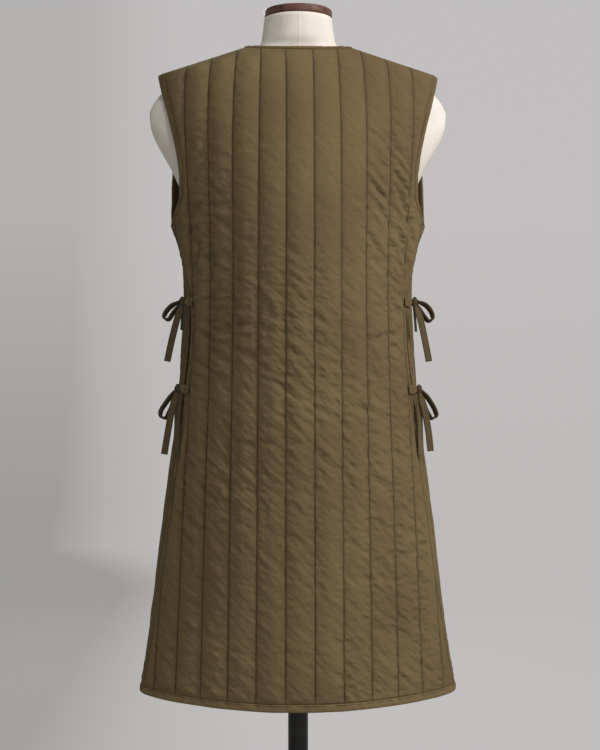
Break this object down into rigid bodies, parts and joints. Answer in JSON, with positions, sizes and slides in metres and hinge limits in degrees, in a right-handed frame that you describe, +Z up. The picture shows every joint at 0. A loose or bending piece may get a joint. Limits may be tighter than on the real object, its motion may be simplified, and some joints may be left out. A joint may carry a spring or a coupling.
{
  "type": "quilted surcoat on a dress form",
  "caption": "Sleeveless knee-length quilted surcoat with vertical channels, bound edges and tied open sides, standing on a limbless dress form with a pole and a round base.",
  "frame": {"origin": "on the floor under the centre of the round base", "axes": "+Z up; +Y the way the garment's back faces; +X the wearer's left, which is the left seen from behind"},
  "size_m": [0.507, 0.38, 1.572],
  "materials": {
    "cloth": "matt olive-brown cotton",
    "binding": "matt olive-brown cotton, folded",
    "tape": "matt dark brown cotton tape",
    "linen": "off-white linen pulled smooth",
    "cap_wood": "satin dark reddish-brown",
    "stand_metal": "satin near-black"
  },
  "bodies": {
    "root": {"back_panel": "cloth", "front_panel": "cloth", "back_side_binding_left": "binding", "front_side_binding_left": "binding", "armhole_binding_left": "binding", "back_side_binding_right": "binding", "front_side_binding_right": "binding", "armhole_binding_right": "binding", "back_hem_binding": "binding", "front_hem_binding": "binding", "neck_binding": "binding", "tie_upper_left_knot": "tape", "tie_upper_left_back_tape": "tape", "tie_upper_left_front_tape": "tape", "tie_upper_left_loop": "tape", "tie_upper_left_tail": "tape", "tie_upper_left_end": "tape", "tie_upper_right_knot": "tape", "tie_upper_right_back_tape": "tape", "tie_upper_right_front_tape": "tape", "tie_upper_right_loop": "tape", "tie_upper_right_tail": "tape", "tie_upper_right_end": "tape", "tie_lower_left_knot": "tape", "tie_lower_left_back_tape": "tape", "tie_lower_left_front_tape": "tape", "tie_lower_left_loop": "tape", "tie_lower_left_tail": "tape", "tie_lower_left_end": "tape", "tie_lower_right_knot": "tape", "tie_lower_right_back_tape": "tape", "tie_lower_right_front_tape": "tape", "tie_lower_right_loop": "tape", "tie_lower_right_tail": "tape", "tie_lower_right_end": "tape", "form_torso": "linen", "neck_cap": "cap_wood", "base": "stand_metal", "pole_collar": "stand_metal", "pole": "stand_metal"}
  },
  "joints": []
}
